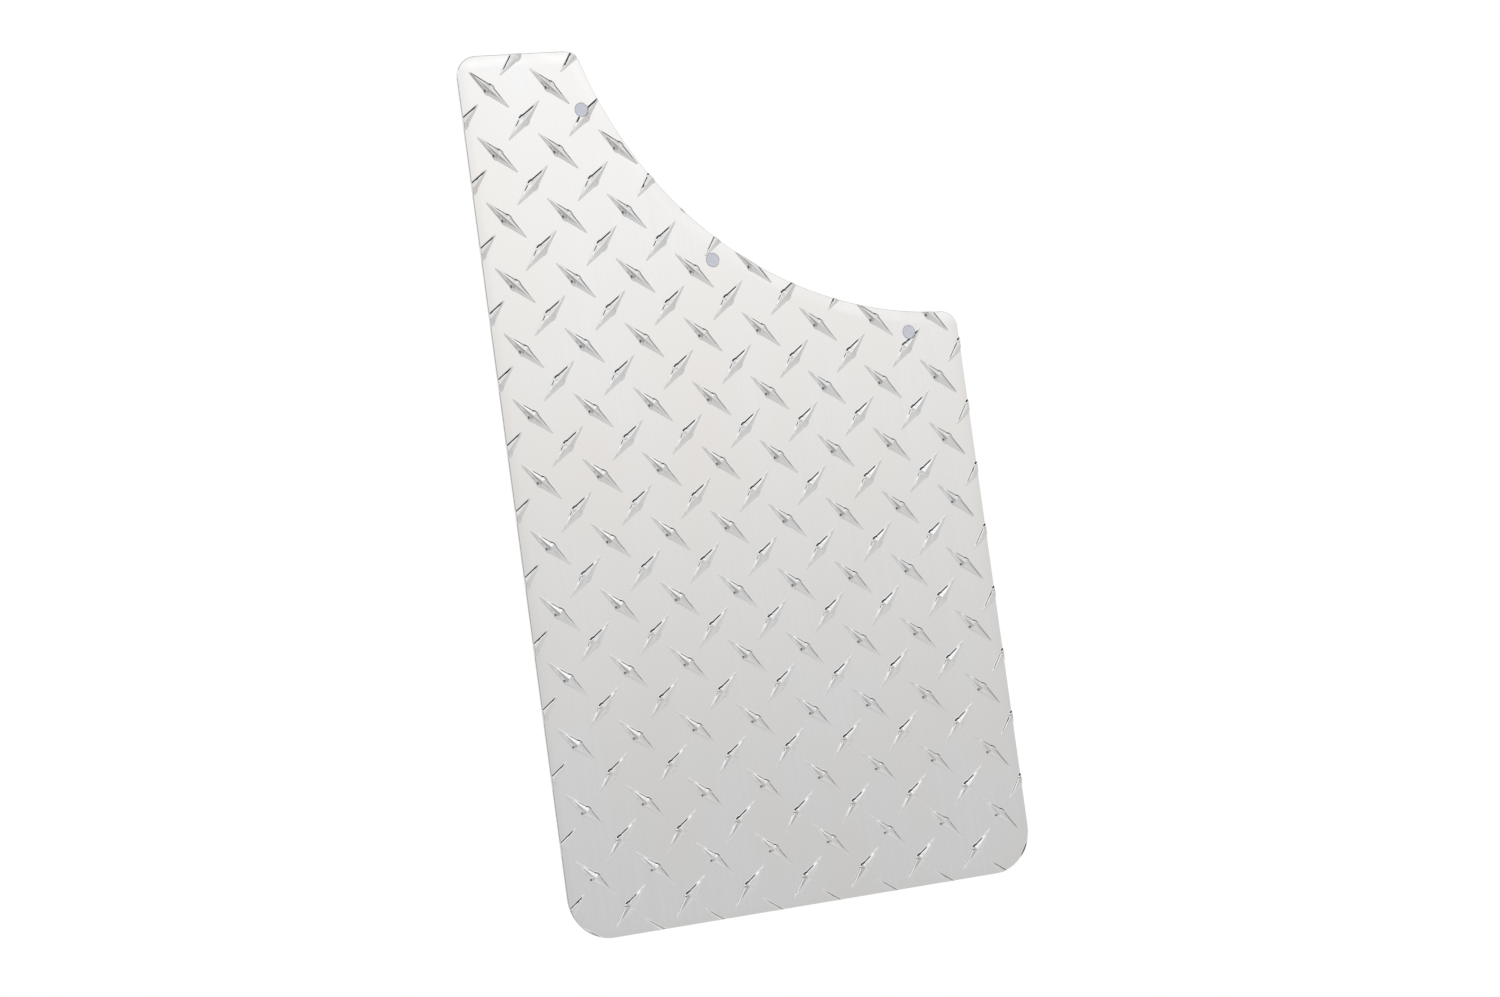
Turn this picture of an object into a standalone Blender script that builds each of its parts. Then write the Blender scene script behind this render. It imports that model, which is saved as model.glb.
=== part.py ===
"""A mud flap of raised-lug aluminium tread plate, hung on three flush-head studs.

Metres, +Z up. The sheet stands in the XZ plane with its lugs facing -Y and its smooth back on y = 0.
The origin is on the middle stud's axis, at the sheet's back. The flap hangs from the three studs along
its arched edge; each carries a flat washer, a split lock washer and a nut behind the sheet.
"""

from math import atan2, ceil, cos, degrees, hypot, pi, radians, sin, sqrt, tan

import bmesh
import bpy
from mathutils import Matrix, Vector

# The sheet
WIDTH = 0.3048
HEIGHT = 0.515
SHEET = 0.0016
FOOT_RADIUS = 0.026
HEEL_RADIUS = 0.013
SHOULDER_RADIUS = 0.010
NECK_RADIUS = 0.0105
ARCH_RADIUS = 0.235
ARCH_CENTRE = (0.3028, 0.5774)  # from the sheet's lower left corner
ARC_STEP = 3.0  # degrees along the arch
CORNER_STEP = 11.25  # degrees round a corner

# The raised lugs, in two crossed families on one square pitch
PITCH = 0.0383
FIRST_FALLING = (0.0187, 0.0353)  # a falling lug's middle, from the lower left corner
LUG_LENGTH = 0.0301
LUG_HALF_WIDTH = 0.00245  # where the blade meets the knuckle
KNUCKLE_HALF_WIDTH = 0.0033
KNUCKLE_HALF_LENGTH = 0.0030
KNUCKLE_CROWN = 0.0012  # half the length of the knuckle's full-width stretch
LUG_HEIGHT = 0.0012
BLADE_HEIGHT = 0.0011
LUG_ROOT = 0.0005  # how far a lug's solid reaches into the sheet

# The fixings, on one circle inside the arch
EDGE_MARGIN = 0.0127
STUD_ANGLES = {"neck": 66.8, "middle": 39.15, "shoulder": 7.4}  # degrees from straight down
HEAD_RADIUS = 0.0041
HEAD_THICKNESS = 0.0008
THREAD_RADIUS = 0.003
STUD_LENGTH = 0.016  # behind the sheet
END_CHAMFER = 0.0006
FIT_GAP = 0.00025
CLAMPED_LIP = 0.003  # room left for the wheel arch's lip
WASHER_RADIUS = 0.006
WASHER_THICKNESS = 0.0016
LOCK_RADIUS = 0.0056
LOCK_THICKNESS = 0.0016
LOCK_RISE = 0.0004
LOCK_SLOT = 16.0  # degrees left open by the split
NUT_FLATS = 0.010
NUT_HEIGHT = 0.005
NUT_CHAMFER = radians(30)
NUT_FACE_RADIUS = 0.00475
NUT_SINK = 0.0005
BORE_RADIUS = THREAD_RADIUS + FIT_GAP

# How round shapes are made
SIDES = 40
SHARP_ANGLE = radians(25)
MERGE = 1e-6


def clear_scene():
    for obj in list(bpy.data.objects):
        bpy.data.objects.remove(obj, do_unlink=True)


def metal(name, colour, roughness):
    material = bpy.data.materials.new(name)
    material.use_nodes = True
    shader = material.node_tree.nodes["Principled BSDF"]
    shader.inputs["Base Color"].default_value = (*colour, 1.0)
    shader.inputs["Metallic"].default_value = 1.0
    shader.inputs["Roughness"].default_value = roughness
    return material


def stud_point(angle):
    """A stud's place from the sheet's lower left corner, by its angle round the arch's centre."""
    reach = ARCH_RADIUS + EDGE_MARGIN
    x = ARCH_CENTRE[0] - reach * sin(radians(angle))
    z = ARCH_CENTRE[1] - reach * cos(radians(angle))
    return Vector((x, 0, z))


def add_object(name, bm, material=None):
    """A new object from this bmesh. Without a material it is a hidden cutter."""
    bmesh.ops.recalc_face_normals(bm, faces=bm.faces)
    mesh = bpy.data.meshes.new(name)
    bm.to_mesh(mesh)
    bm.free()
    obj = bpy.data.objects.new(name, mesh)
    bpy.context.scene.collection.objects.link(obj)
    if material:
        mesh.materials.append(material)
    else:
        obj.hide_render = True
        obj.display_type = "WIRE"
    return obj


def boolean(obj, operation, tool):
    modifier = obj.modifiers.new(tool.name, "BOOLEAN")
    modifier.operation = operation
    modifier.object = tool
    modifier.solver = "EXACT"


def arc_points(centre, radius, start, end, step):
    """Points round an arc from start to end, in degrees from +X towards +Z."""
    count = ceil(abs(end - start) / step)
    angles = [radians(start + (end - start) * i / count) for i in range(count + 1)]
    return [(centre[0] + radius * cos(a), centre[1] + radius * sin(a)) for a in angles]


def blend_arch_into_side(radius):
    """The centre of the round corner between the arch and the sheet's right side."""
    x = WIDTH - radius
    reach = ARCH_RADIUS + radius
    return x, ARCH_CENTRE[1] - sqrt(reach**2 - (ARCH_CENTRE[0] - x) ** 2)


def blend_arch_into_top(radius):
    """The centre of the round corner between the arch and the sheet's top."""
    z = HEIGHT - radius
    reach = ARCH_RADIUS + radius
    return ARCH_CENTRE[0] - sqrt(reach**2 - (ARCH_CENTRE[1] - z) ** 2), z


def sheet_outline():
    """The sheet's outline from its lower left corner, counter-clockwise as seen from the front."""
    shoulder = blend_arch_into_side(SHOULDER_RADIUS)
    neck = blend_arch_into_top(NECK_RADIUS)
    shoulder_turn = degrees(atan2(ARCH_CENTRE[1] - shoulder[1], ARCH_CENTRE[0] - shoulder[0]))
    neck_turn = degrees(atan2(ARCH_CENTRE[1] - neck[1], ARCH_CENTRE[0] - neck[0]))
    foot, heel = FOOT_RADIUS, HEEL_RADIUS
    points = arc_points((foot, foot), foot, 180, 270, CORNER_STEP)
    points += arc_points((WIDTH - foot, foot), foot, 270, 360, CORNER_STEP)
    points += arc_points(shoulder, SHOULDER_RADIUS, 0, shoulder_turn, CORNER_STEP)
    points += arc_points(ARCH_CENTRE, ARCH_RADIUS, shoulder_turn + 180, neck_turn + 180, ARC_STEP)[1:-1]
    points += arc_points(neck, NECK_RADIUS, neck_turn, 90, CORNER_STEP)
    points += arc_points((heel, HEIGHT - heel), heel, 90, 180, CORNER_STEP)
    return points


def add_prism(bm, points, front, back):
    """A closed prism whose outline is these (x, z) points and whose ends are at y = front and back."""
    face = bm.faces.new([bm.verts.new((x, front, z)) for x, z in points])
    made = bmesh.ops.extrude_face_region(bm, geom=[face])["geom"]
    moved = [item for item in made if isinstance(item, bmesh.types.BMVert)]
    bmesh.ops.translate(bm, verts=moved, vec=(0, back - front, 0))


def add_lug(bm, x, z, angle):
    """One closed lug on the sheet's front: two tapering blades that meet at a wider knuckle.

    Its flanks run on below the front face, so that they cross it where the lug's outline should be.
    """
    blade_spread = (BLADE_HEIGHT + LUG_ROOT) / BLADE_HEIGHT
    knuckle_spread = (LUG_HEIGHT + LUG_ROOT) / LUG_HEIGHT
    tip = KNUCKLE_HALF_LENGTH + (LUG_LENGTH / 2 - KNUCKLE_HALF_LENGTH) * blade_spread
    stations = (
        (-KNUCKLE_HALF_LENGTH, LUG_HALF_WIDTH * blade_spread, BLADE_HEIGHT),
        (-KNUCKLE_CROWN, KNUCKLE_HALF_WIDTH * knuckle_spread, LUG_HEIGHT),
        (KNUCKLE_CROWN, KNUCKLE_HALF_WIDTH * knuckle_spread, LUG_HEIGHT),
        (KNUCKLE_HALF_LENGTH, LUG_HALF_WIDTH * blade_spread, BLADE_HEIGHT),
    )
    place = Matrix.Translation((x, -SHEET, z)) @ Matrix.Rotation(-angle, 4, "Y")

    def point(along, across, height):
        return bm.verts.new(place @ Vector((along, -height, across)))

    first = point(-tip, 0, -LUG_ROOT)
    last = point(tip, 0, -LUG_ROOT)
    lower = [point(s, -w, -LUG_ROOT) for s, w, _ in stations]
    crest = [point(s, 0, h) for s, _, h in stations]
    upper = [point(s, w, -LUG_ROOT) for s, w, _ in stations]
    bm.faces.new([first, *lower, last, *reversed(upper)])
    for side in (lower, upper):
        bm.faces.new([first, side[0], crest[0]])
        bm.faces.new([last, side[-1], crest[-1]])
        for i in range(len(stations) - 1):
            bm.faces.new([side[i], side[i + 1], crest[i + 1]])
            bm.faces.new([side[i], crest[i + 1], crest[i]])


def lug_places():
    """Each lug's middle, from the sheet's lower left corner, and its angle from level."""
    columns = ceil(WIDTH / PITCH) + 1
    rows = ceil(HEIGHT / PITCH) + 1
    for column in range(-1, columns):
        for row in range(-1, rows):
            x = FIRST_FALLING[0] + column * PITCH
            z = FIRST_FALLING[1] + row * PITCH
            yield x, z, -pi / 4
            yield x - PITCH / 2, z - PITCH / 2, pi / 4


def lug_meets_sheet(x, z):
    """Whether a lug here reaches the sheet, with the arch's cut-out left out."""
    reach = LUG_LENGTH / 2 * sin(pi / 4)
    inside_box = -reach < x < WIDTH + reach and -reach < z < HEIGHT + reach
    from_arch = hypot(x - ARCH_CENTRE[0], z - ARCH_CENTRE[1])
    return inside_box and from_arch > ARCH_RADIUS - LUG_LENGTH / 2


def add_turned(bm, profile, centre=(0, 0, 0)):
    """Turns a profile of (radius, y) points about a line along Y. One that starts off it is closed into a ring."""
    centre = Vector(centre)
    verts = [bm.verts.new(centre + Vector((radius, y, 0))) for radius, y in profile]
    pairs = list(zip(verts, verts[1:]))
    if profile[0][0] > 0:
        pairs.append((verts[-1], verts[0]))
    edges = [bm.edges.new(pair) for pair in pairs]
    turn = {"cent": centre, "axis": (0, 1, 0), "angle": 2 * pi, "steps": SIDES}
    bmesh.ops.spin(bm, geom=verts + edges, **turn)
    bmesh.ops.remove_doubles(bm, verts=bm.verts, dist=MERGE)


def shade_round(obj):
    obj.data.shade_smooth()
    obj.data.set_sharp_from_angle(angle=SHARP_ANGLE)


def turned(name, profile, material=None):
    bm = bmesh.new()
    add_turned(bm, profile)
    obj = add_object(name, bm, material)
    shade_round(obj)
    return obj


def make_tread_plate(material, corner):
    """The sheet: a slab and its lugs, trimmed together to the outline, then cut for the studs."""
    bm = bmesh.new()
    left, right = -PITCH, WIDTH + PITCH
    low, high = -PITCH, HEIGHT + PITCH
    slab = [(left, low), (right, low), (right, high), (left, high)]
    add_prism(bm, slab, -SHEET, 0)
    plate = add_object("tread_plate", bm, material)

    bm = bmesh.new()
    for x, z, angle in lug_places():
        if lug_meets_sheet(x, z):
            add_lug(bm, x, z, angle)
    lugs = add_object("lugs", bm)

    bm = bmesh.new()
    add_prism(bm, sheet_outline(), -SHEET - 2 * LUG_HEIGHT, SHEET)
    trim = add_object("outline", bm)

    bm = bmesh.new()
    before = -SHEET - 2 * LUG_HEIGHT
    seat = HEAD_RADIUS + FIT_GAP
    floor = HEAD_THICKNESS + FIT_GAP - SHEET
    profile = [(0, before), (seat, before), (seat, floor), (BORE_RADIUS, floor)]
    profile += [(BORE_RADIUS, SHEET), (0, SHEET)]
    for angle in STUD_ANGLES.values():
        add_turned(bm, profile, stud_point(angle))
    holes = add_object("stud_holes", bm)

    boolean(plate, "UNION", lugs)
    boolean(plate, "INTERSECT", trim)
    boolean(plate, "DIFFERENCE", holes)
    for obj in (plate, lugs, trim, holes):
        obj.location = -corner
    return plate


def make_stud(name, material):
    """A flush-head stud: a thin head in the sheet's front, and a shank out of its back."""
    head_back = HEAD_THICKNESS - SHEET
    profile = [
        (0, -SHEET),
        (HEAD_RADIUS, -SHEET),
        (HEAD_RADIUS, head_back),
        (THREAD_RADIUS, head_back),
        (THREAD_RADIUS, STUD_LENGTH - END_CHAMFER),
        (THREAD_RADIUS - END_CHAMFER, STUD_LENGTH),
        (0, STUD_LENGTH),
    ]
    return turned(name, profile, material)


def make_washer(name, material):
    profile = [
        (BORE_RADIUS, 0),
        (WASHER_RADIUS, 0),
        (WASHER_RADIUS, WASHER_THICKNESS),
        (BORE_RADIUS, WASHER_THICKNESS),
    ]
    return turned(name, profile, material)


def make_lock_washer(name, material):
    """A square-section ring, split on one side, whose ends stand a little apart."""
    bm = bmesh.new()
    sections = []
    sweep = 360 - LOCK_SLOT
    for i in range(SIDES + 1):
        turn = radians(LOCK_SLOT / 2 + sweep * i / SIDES)
        low = LOCK_RISE * i / SIDES
        high = low + LOCK_THICKNESS
        corners = [(BORE_RADIUS, low), (LOCK_RADIUS, low), (LOCK_RADIUS, high), (BORE_RADIUS, high)]
        sections.append([bm.verts.new((r * sin(turn), y, r * cos(turn))) for r, y in corners])
    for here, there in zip(sections, sections[1:]):
        for i in range(4):
            j = (i + 1) % 4
            bm.faces.new([here[i], here[j], there[j], there[i]])
    bm.faces.new(sections[0])
    bm.faces.new(sections[-1])
    obj = add_object(name, bm, material)
    shade_round(obj)
    return obj


def make_nut(name, material):
    """A hexagon prism, trimmed by a chamfered barrel and cut by a countersunk bore."""
    corner = NUT_FLATS / sqrt(3)
    past = SHEET
    bm = bmesh.new()
    hexagon = [(corner * cos(i * pi / 3), corner * sin(i * pi / 3)) for i in range(6)]
    add_prism(bm, hexagon, -past, NUT_HEIGHT + past)
    nut = add_object(name, bm, material)

    slope = (corner - NUT_FACE_RADIUS) * tan(NUT_CHAMFER)
    outside = [(0, 0), (NUT_FACE_RADIUS, 0), (corner + past, slope + past * tan(NUT_CHAMFER))]
    mouth = [(0, -past), (BORE_RADIUS + NUT_SINK + past, -past), (BORE_RADIUS, NUT_SINK)]
    for suffix, half, operation in (("barrel", outside, "INTERSECT"), ("bore", mouth, "DIFFERENCE")):
        mirrored = [(radius, NUT_HEIGHT - y) for radius, y in reversed(half)]
        tool = turned(f"{name}_{suffix}", half + mirrored)
        tool.parent = nut
        boolean(nut, operation, tool)
    return nut


def make_fixing(name, place, materials):
    """A stud, its two washers and its nut, on an empty at the stud's axis on the sheet's back."""
    axis = bpy.data.objects.new(f"fixing_{name}", None)
    bpy.context.scene.collection.objects.link(axis)
    axis.location = place
    washer_y = CLAMPED_LIP
    lock_y = washer_y + WASHER_THICKNESS + FIT_GAP
    nut_y = lock_y + LOCK_THICKNESS + LOCK_RISE + FIT_GAP
    pieces = [
        (make_stud(f"stud_{name}", materials["stud"]), 0),
        (make_washer(f"washer_{name}", materials["washer"]), washer_y),
        (make_lock_washer(f"lock_washer_{name}", materials["lock_washer"]), lock_y),
        (make_nut(f"nut_{name}", materials["nut"]), nut_y),
    ]
    for piece, y in pieces:
        piece.parent = axis
        piece.location = (0, y, 0)


def main():
    clear_scene()
    corner = stud_point(STUD_ANGLES["middle"])
    aluminium = metal("bright_aluminium", (0.88, 0.88, 0.89), 0.25)
    materials = {
        "stud": metal("zinc_stud", (0.62, 0.64, 0.68), 0.35),
        "washer": metal("zinc_washer", (0.66, 0.67, 0.70), 0.32),
        "lock_washer": metal("spring_steel", (0.45, 0.46, 0.48), 0.4),
        "nut": metal("zinc_nut", (0.60, 0.62, 0.65), 0.35),
    }
    make_tread_plate(aluminium, corner)
    for name, angle in STUD_ANGLES.items():
        make_fixing(name, stud_point(angle) - corner, materials)


main()
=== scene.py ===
"""The looks of a mud flap of bright tread plate on three studs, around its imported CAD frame.

Metres, +Z up. The sheet stands in the XZ plane with its lugs facing -Y. Places on the sheet are (u, v),
measured from its lower left corner, as seen from the front.
"""

from math import ceil, cos, degrees, atan2, pi, radians, sin, sqrt, tan

import bmesh
import bpy
import numpy as np
from mathutils import Matrix, Vector
from mathutils.geometry import delaunay_2d_cdt


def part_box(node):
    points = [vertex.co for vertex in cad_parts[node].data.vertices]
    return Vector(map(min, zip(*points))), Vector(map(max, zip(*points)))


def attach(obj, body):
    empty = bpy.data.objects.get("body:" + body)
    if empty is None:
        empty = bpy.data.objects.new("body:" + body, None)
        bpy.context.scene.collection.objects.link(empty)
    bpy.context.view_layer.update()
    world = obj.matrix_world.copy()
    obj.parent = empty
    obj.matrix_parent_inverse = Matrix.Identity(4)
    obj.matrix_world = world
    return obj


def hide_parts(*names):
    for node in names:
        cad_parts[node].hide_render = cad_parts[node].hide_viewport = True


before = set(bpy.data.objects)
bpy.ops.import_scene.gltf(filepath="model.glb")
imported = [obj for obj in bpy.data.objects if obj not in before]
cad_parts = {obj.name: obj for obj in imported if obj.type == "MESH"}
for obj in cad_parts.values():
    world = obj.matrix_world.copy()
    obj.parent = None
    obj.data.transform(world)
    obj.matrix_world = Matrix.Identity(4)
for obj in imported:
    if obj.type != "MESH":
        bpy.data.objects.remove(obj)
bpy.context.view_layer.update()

# The sheet, as in the CAD
WIDTH = 0.3048
HEIGHT = 0.515
SHEET = 0.0016
FOOT_RADIUS = 0.026
HEEL_RADIUS = 0.013
SHOULDER_RADIUS = 0.010
NECK_RADIUS = 0.0105
ARCH_RADIUS = 0.235
ARCH_CENTRE = (0.3028, 0.5774)
PITCH = 0.0383
# The middle of one lug that falls to the right, and of one that rises, with their turns
LUG_FAMILIES = (((0.0187, 0.0353), -pi / 4), ((0.0187 - PITCH / 2, 0.0353 - PITCH / 2), pi / 4))
HOLE_RADIUS = 0.00418

# A lug's shape: two straight blades and a round knuckle over their middle. Both have a flared foot, a steep
# skirt and a low roof, given as (how far inside the outline, slope there). The slopes were set
# until the reflections looked like the photo's.
LUG_HALF_LENGTH = 0.0152
LUG_HALF_WIDTH = 0.0028  # at its middle, if the knuckle were not there
LUG_TAPER = atan2(LUG_HALF_WIDTH, LUG_HALF_LENGTH)
KNUCKLE_RADIUS = 0.0034
FLANK_SLOPES = ((-0.0006, 0.0), (-0.0001, 0.40), (0.0, 0.95), (0.00072, 0.95), (0.00084, 0.16))
BLADE_SLOPES = (*FLANK_SLOPES, (LUG_HALF_WIDTH, 0.16))
KNUCKLE_SLOPES = (*FLANK_SLOPES, (KNUCKLE_RADIUS, 0.0))
CREST_EASE = 0.00014  # how far the blades' crest is rounded
JOIN_EASE = 0.00003  # how softly blade and knuckle meet

# The cut edge
ROLL = 0.00032  # radius of the rounded front edge
RIM_TILT = (0.9, 0.436)  # how much the front's outermost normals face out of the edge, and forward
HOLE_ROLL = 0.00022
DROOP = 0.00028  # how far the sheet's face bends back towards the arch and the top
DROOP_WIDTH = 0.008
DROOP_STEADY = 0.65  # the share of the droop that is the same all along; waves add the rest
DROOP_WAVES = ((0.20, 95, -60, 0), (0.15, 210, 170, 1))  # share, radians per metre of u and of v, start
# Depths inside the sheet's edge and outside a hole's, which the triangles follow
EDGE_DEPTHS = (0.0, 0.00004, 0.00012, 0.00022, ROLL, 0.0014, 0.0032, 0.0055, DROOP_WIDTH)
HOLE_DEPTHS = (0.0, 0.00004, 0.00012, 0.00025, 0.0006)
HOLE_SIDES = 64
CORNER_STEP = 4.0  # degrees
ARCH_STEP = 0.5
LONGEST_STEP = 0.006
MERGE_DISTANCE = 1e-7  # points on the sheet nearer than this become one

# The fixings, M6 with a 1 mm thread
THREAD_RADIUS = 0.003
THREAD_PITCH = 0.001
THREAD_DEPTH = 0.00061
THREAD_CLEARANCE = 0.00007
ROWS_PER_TURN = 10
HEAD_RADIUS = 0.0041
BORE_RADIUS = 0.00325
NUT_FLATS = 0.010
NUT_FACE_RADIUS = 0.00475
NUT_CORNER_RADIUS = 0.00571  # its corners are a little blunt
LOCK_WIRE = 0.0016  # the lock washer's thickness
LOCK_EASE = 0.00018
LOCK_SLOT = 16.0  # degrees
LOCK_SLANT = radians(5)
LOCK_STEPS = 60

# The camera
CAMERA_PLACE = (-0.9426, -1.9508, -0.2526)
CAMERA_HEADING = 25.876  # degrees to the right of straight ahead
CAMERA_PITCH = 2.887
CAMERA_ROLL = 7.849
LENS = 87.99

FLOOR_HEIGHT = -2.6
FLOOR_HALF = 30.0


# ---------------------------------------------------------------- the sheet's outline

def blend_arch_into_side(radius):
    """The centre of the round corner between the arch and the sheet's right side."""
    u = WIDTH - radius
    return u, ARCH_CENTRE[1] - sqrt((ARCH_RADIUS + radius) ** 2 - (ARCH_CENTRE[0] - u) ** 2)


def blend_arch_into_top(radius):
    """The centre of the round corner between the arch and the sheet's top."""
    v = HEIGHT - radius
    return ARCH_CENTRE[0] - sqrt((ARCH_RADIUS + radius) ** 2 - (ARCH_CENTRE[1] - v) ** 2), v


def angle_to_arch_centre(point):
    return degrees(atan2(ARCH_CENTRE[1] - point[1], ARCH_CENTRE[0] - point[0]))


def round_corners():
    """Each round corner's centre, radius, and start and end in degrees, counter-clockwise."""
    shoulder = blend_arch_into_side(SHOULDER_RADIUS)
    neck = blend_arch_into_top(NECK_RADIUS)
    foot, heel = FOOT_RADIUS, HEEL_RADIUS
    return [
        ((foot, foot), foot, 180, 270),
        ((WIDTH - foot, foot), foot, 270, 360),
        (shoulder, SHOULDER_RADIUS, 0, angle_to_arch_centre(shoulder)),
        (neck, NECK_RADIUS, angle_to_arch_centre(neck), 90),
        ((heel, HEIGHT - heel), heel, 90, 180),
    ]


CORNERS = round_corners()
SHOULDER, NECK = 2, 3


def arc(centre, radius, start, end, step=CORNER_STEP):
    count = max(2, ceil(abs(end - start) / step))
    turns = [radians(start + (end - start) * i / count) for i in range(count + 1)]
    return [(centre[0] + radius * cos(a), centre[1] + radius * sin(a)) for a in turns]


def split_long(points, longest=LONGEST_STEP):
    """The closed line with points added so that no step is over longest, along u or along v."""
    result = []
    for (u0, v0), (u1, v1) in zip(points, points[1:] + points[:1]):
        count = ceil(max(abs(u1 - u0), abs(v1 - v0)) / longest)
        result += [(u0 + (u1 - u0) * i / count, v0 + (v1 - v0) * i / count) for i in range(count)]
    return result


def outline(depth):
    """The closed line that runs at this depth inside the sheet's edge, counter-clockwise."""
    points = []
    for index, (centre, radius, start, end) in enumerate(CORNERS):
        points += arc(centre, radius - depth, start, end)
        if index == SHOULDER:
            arch_start, arch_end = end + 180, CORNERS[NECK][2] + 180
            points += arc(ARCH_CENTRE, ARCH_RADIUS + depth, arch_start, arch_end, ARCH_STEP)[1:-1]
    return split_long(points)


def depth_inside(u, v):
    """How far each point lies inside the sheet's edge, holes left out."""
    from_arch = np.hypot(u - ARCH_CENTRE[0], v - ARCH_CENTRE[1]) - ARCH_RADIUS
    depth = np.minimum.reduce([u, WIDTH - u, v, HEIGHT - v, from_arch])
    for (cu, cv), radius, start, end in CORNERS:
        turn = np.degrees(np.arctan2(v - cv, u - cu)) % 360
        inside = (turn >= start) & (turn <= end)
        depth = np.where(inside, radius - np.hypot(u - cu, v - cv), depth)
    return depth


def inside_polygon(points, polygon):
    """Which of the points, an array of (u, v), lie in the closed polygon."""
    u, v = points[:, 0], points[:, 1]
    crossed = np.zeros(len(points), bool)
    corners = np.array(polygon)
    for (u0, v0), (u1, v1) in zip(corners, np.roll(corners, -1, axis=0)):
        if v0 != v1:
            spans = (v0 > v) != (v1 > v)
            crossed ^= spans & (u < (u1 - u0) * (v - v0) / (v1 - v0) + u0)
    return crossed


# ---------------------------------------------------------------- the height of the front

def flank(depth, slopes):
    """The height at this depth inside an outline, with the slope changing evenly between those given."""
    height = np.zeros_like(depth)
    for (start, slope), (end, next_slope) in zip(slopes, slopes[1:]):
        run = np.clip(depth - start, 0, end - start)
        height += slope * run + (next_slope - slope) * run**2 / (2 * (end - start))
    return height


def lug_height(along, across):
    """The height of one lug, from how far inside its blades' and its knuckle's outlines a point lies."""
    from_crest = np.sqrt(across**2 + CREST_EASE**2) - CREST_EASE
    along = np.abs(along)
    depth = LUG_HALF_WIDTH * cos(LUG_TAPER) - along * sin(LUG_TAPER) - from_crest * cos(LUG_TAPER)
    beyond = (along - LUG_HALF_LENGTH) * cos(LUG_TAPER) > from_crest * sin(LUG_TAPER)
    depth = np.where(beyond, -np.hypot(along - LUG_HALF_LENGTH, across), depth)
    blade = flank(depth, BLADE_SLOPES)
    knuckle = flank(KNUCKLE_RADIUS - np.hypot(along, across), KNUCKLE_SLOPES)
    return (blade + knuckle + np.sqrt((blade - knuckle) ** 2 + JOIN_EASE**2) - JOIN_EASE) / 2


def lugs_height(u, v):
    """The lugs' height over the front face."""
    height = np.zeros_like(u)
    for (lug_u, lug_v), turn in LUG_FAMILIES:
        du = (u - lug_u + PITCH / 2) % PITCH - PITCH / 2
        dv = (v - lug_v + PITCH / 2) % PITCH - PITCH / 2
        along = du * cos(turn) + dv * sin(turn)
        across = dv * cos(turn) - du * sin(turn)
        height = np.maximum(height, lug_height(along, across))
    return height


def rounded_drop(depth, radius):
    """How far a rounded edge has fallen, at this depth inside it."""
    left = np.clip(radius - depth, 0, radius)
    return radius - np.sqrt(radius**2 - left**2)


def edge_droop(u, v):
    """How far the face bends back beside the arch and the top, unevenly along them."""
    from_arch = np.hypot(u - ARCH_CENTRE[0], v - ARCH_CENTRE[1]) - ARCH_RADIUS
    depth = np.minimum(HEIGHT - v, from_arch)
    share = np.clip(1 - depth / DROOP_WIDTH, 0, 1)
    uneven = DROOP_STEADY
    for size, per_u, per_v, start in DROOP_WAVES:
        uneven = uneven + size * np.sin(u * per_u + v * per_v + start)
    return DROOP * uneven * share**2


def front_height(u, v):
    """The height of the sheet's front over its flat face, lugs and rounded edges included."""
    depth = np.maximum(depth_inside(u, v), 0)
    height = lugs_height(u, v) - rounded_drop(depth, ROLL) - edge_droop(u, v)
    for cu, cv in HOLES:
        height -= rounded_drop(np.maximum(np.hypot(u - cu, v - cv) - HOLE_RADIUS, 0), HOLE_ROLL)
    return height


def front_normals(u, v, step=1e-6):
    slope_u = (front_height(u + step, v) - front_height(u - step, v)) / (2 * step)
    slope_v = (front_height(u, v + step) - front_height(u, v - step)) / (2 * step)
    normals = np.stack([-slope_u, -np.ones_like(u), -slope_v], axis=1)
    return normals / np.linalg.norm(normals, axis=1, keepdims=True)


def corner_normals(points, triangles, nudge=3e-6):
    """The front's normal at each corner of each triangle, just inside it, so that creases stay crisp."""
    corners = points[triangles]
    inward = corners.mean(axis=1, keepdims=True) - corners
    corners = corners + inward * nudge / np.linalg.norm(inward, axis=2, keepdims=True)
    return front_normals(corners[..., 0].reshape(-1), corners[..., 1].reshape(-1))


def outward(u, v, step=1e-5):
    """The direction straight out of the sheet's nearest edge, hole edges included, as (u, v)."""
    def depth(a, b):
        result = depth_inside(a, b)
        for cu, cv in HOLES:
            result = np.minimum(result, np.hypot(a - cu, b - cv) - HOLE_RADIUS)
        return result

    slope_u = depth(u + step, v) - depth(u - step, v)
    slope_v = depth(u, v + step) - depth(u, v - step)
    slope = np.stack([slope_u, slope_v], axis=1)
    return -slope / np.maximum(np.linalg.norm(slope, axis=1, keepdims=True), 1e-12)


# ---------------------------------------------------------------- the sheet's mesh

def fill(points, lines, keep_ids=False):
    """Triangles that follow the lines: their points, their corners, and which given points each point was."""
    made = delaunay_2d_cdt([Vector(p) for p in points], lines, [], 0, MERGE_DISTANCE, keep_ids)
    return np.array([tuple(p) for p in made[0]]), np.array(made[2]), made[3]


class Plan:
    """Points and lines in (u, v) that the front's triangles must follow."""

    def __init__(self):
        self.points = []
        self.lines = []

    def add(self, points, closed=False):
        first = len(self.points)
        self.points += points
        last = len(self.points) - 1
        self.lines += [(i, i + 1) for i in range(first, last)]
        if closed:
            self.lines.append((last, first))


def circle(centre, radius, sides):
    turns = [2 * pi * i / sides for i in range(sides)]
    return [(centre[0] + radius * cos(a), centre[1] + radius * sin(a)) for a in turns]


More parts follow.
